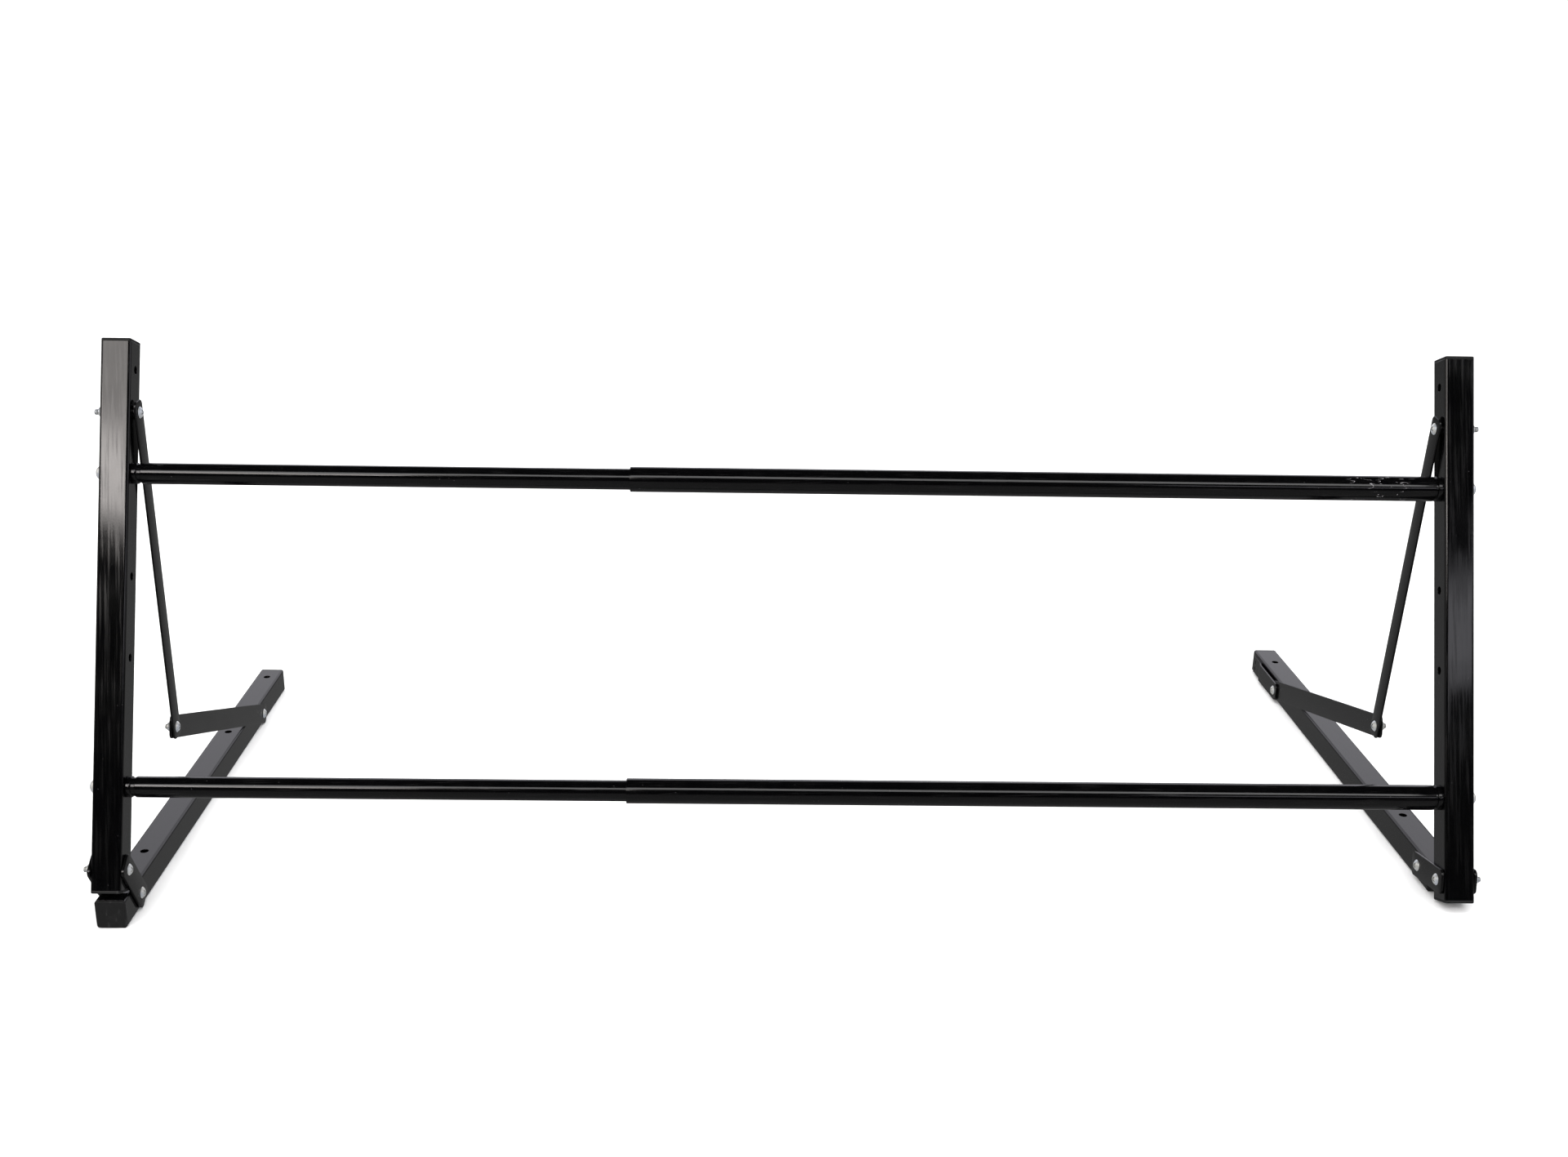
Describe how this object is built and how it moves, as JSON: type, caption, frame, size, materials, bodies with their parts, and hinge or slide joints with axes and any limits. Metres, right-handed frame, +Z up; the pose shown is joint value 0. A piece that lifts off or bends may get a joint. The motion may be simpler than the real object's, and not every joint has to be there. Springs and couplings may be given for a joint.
{
  "type": "folding wall rack",
  "caption": "Folding wall rack: two braced arms on wall rails, joined by a pair of telescoping round bars.",
  "frame": {"origin": "middle of the bounding box on the surface that the rails lie on", "axes": "+X along the bars to the right, +Y along the wall rails away from the hinges, +Z up from the surface the rails lie on"},
  "size_m": [1.4145, 0.6718, 0.5591],
  "materials": {
    "black_enamel": "gloss powder coat",
    "black_plastic": "moulded, satin",
    "zinc": "bright zinc plate"
  },
  "bodies": {
    "right_rail": {"right_wall_rail": "black_enamel", "right_rail_hinge_cap": "black_plastic", "right_rail_far_cap": "black_plastic", "right_rail_link_bolt": "zinc", "right_rail_link_nut": "zinc", "right_guard_strap": "black_enamel"},
    "right_plates": {"right_inner_hinge_plate": "black_enamel", "right_outer_hinge_plate": "black_enamel", "right_hinge_bolts": "zinc", "right_hinge_nuts": "zinc"},
    "right_arm": {"right_arm": "black_enamel", "right_arm_lower_cap": "black_plastic", "right_arm_upper_cap": "black_plastic", "right_link_spacer": "black_enamel", "right_link_bolt": "zinc", "right_link_nut": "zinc", "right_bar_bolts": "zinc", "right_bar_washers": "zinc", "upper_right_bar_plug": "black_enamel", "lower_right_bar_plug": "black_enamel", "upper_thick_tube": "black_enamel", "lower_thick_tube": "black_enamel"},
    "right_long_link": {"right_long_link": "black_enamel", "right_elbow_bolt": "zinc"},
    "right_short_link": {"right_short_link": "black_enamel", "right_elbow_nut": "zinc"},
    "left_rail": {"left_wall_rail": "black_enamel", "left_rail_hinge_cap": "black_plastic", "left_rail_far_cap": "black_plastic", "left_rail_link_bolt": "zinc", "left_rail_link_nut": "zinc"},
    "left_plates": {"left_inner_hinge_plate": "black_enamel", "left_outer_hinge_plate": "black_enamel", "left_hinge_bolts": "zinc", "left_hinge_nuts": "zinc"},
    "left_arm": {"left_arm": "black_enamel", "left_arm_lower_cap": "black_plastic", "left_arm_upper_cap": "black_plastic", "left_link_spacer": "black_enamel", "left_link_bolt": "zinc", "left_link_nut": "zinc", "left_bar_bolts": "zinc", "left_bar_washers": "zinc", "upper_left_bar_plug": "black_enamel", "lower_left_bar_plug": "black_enamel", "upper_thin_tube": "black_enamel", "lower_thin_tube": "black_enamel"},
    "left_long_link": {"left_long_link": "black_enamel", "left_elbow_bolt": "zinc"},
    "left_short_link": {"left_short_link": "black_enamel", "left_elbow_nut": "zinc"}
  },
  "joints": [
    {"name": "right_plate_hinge", "type": "hinge", "parent": "right_rail", "child": "right_plates", "pos_m": [0.67244, -0.26712, 0.01777], "axis": [0.9997, 0, -0.023], "range_deg": [-0.81, 2.81]},
    {"name": "right_arm_hinge", "type": "hinge", "parent": "right_plates", "child": "right_arm", "pos_m": [0.67265, -0.31425, 0.02689], "axis": [0.9997, 0, -0.023], "range_deg": [-3.2, 11.2]},
    {"name": "right_long_link_hinge", "type": "hinge", "parent": "right_arm", "child": "right_long_link", "pos_m": [0.68249, -0.15161, 0.45492], "axis": [0.9997, 0, -0.023], "range_deg": [-2.33, 8.14]},
    {"name": "right_short_link_hinge", "type": "hinge", "parent": "right_rail", "child": "right_short_link", "pos_m": [0.67237, 0.22688, 0.01467], "axis": [0.9997, 0, -0.023], "range_deg": [-10.57, 3.03]},
    {"name": "width_slide", "type": "slide", "parent": "right_arm", "child": "left_arm", "axis": [-0.9997, 0, 0.023], "range_m": [-0.46, 0.1]},
    {"name": "left_arm_hinge", "type": "hinge", "parent": "left_arm", "child": "left_plates", "pos_m": [-0.67899, -0.31425, 0.05797], "axis": [0.9997, 0, -0.023], "range_deg": [-11.21, 3.21]},
    {"name": "left_plate_hinge", "type": "hinge", "parent": "left_plates", "child": "left_rail", "pos_m": [-0.67992, -0.28804, 0.01777], "axis": [0.9997, 0, -0.023], "range_deg": [-2.81, 0.81]},
    {"name": "left_long_link_hinge", "type": "hinge", "parent": "left_arm", "child": "left_long_link", "pos_m": [-0.66915, -0.15161, 0.48601], "axis": [0.9997, 0, -0.023], "range_deg": [-2.37, 8.28]},
    {"name": "left_short_link_hinge", "type": "hinge", "parent": "left_rail", "child": "left_short_link", "pos_m": [-0.67999, 0.18996, 0.01467], "axis": [0.9997, 0, -0.023], "range_deg": [-9.31, 2.67]}
  ],
  "couplings": [
    {"joint": "right_plate_hinge", "follows": "right_arm_hinge", "ratio": 0.25},
    {"joint": "right_long_link_hinge", "follows": "right_arm_hinge", "ratio": 0.72594},
    {"joint": "right_short_link_hinge", "follows": "right_arm_hinge", "ratio": -0.94286},
    {"joint": "left_long_link_hinge", "follows": "right_arm_hinge", "ratio": 0.73856},
    {"joint": "left_arm_hinge", "follows": "right_arm_hinge", "ratio": -1},
    {"joint": "left_plate_hinge", "follows": "right_arm_hinge", "ratio": -0.25},
    {"joint": "left_short_link_hinge", "follows": "right_arm_hinge", "ratio": -0.83059}
  ]
}
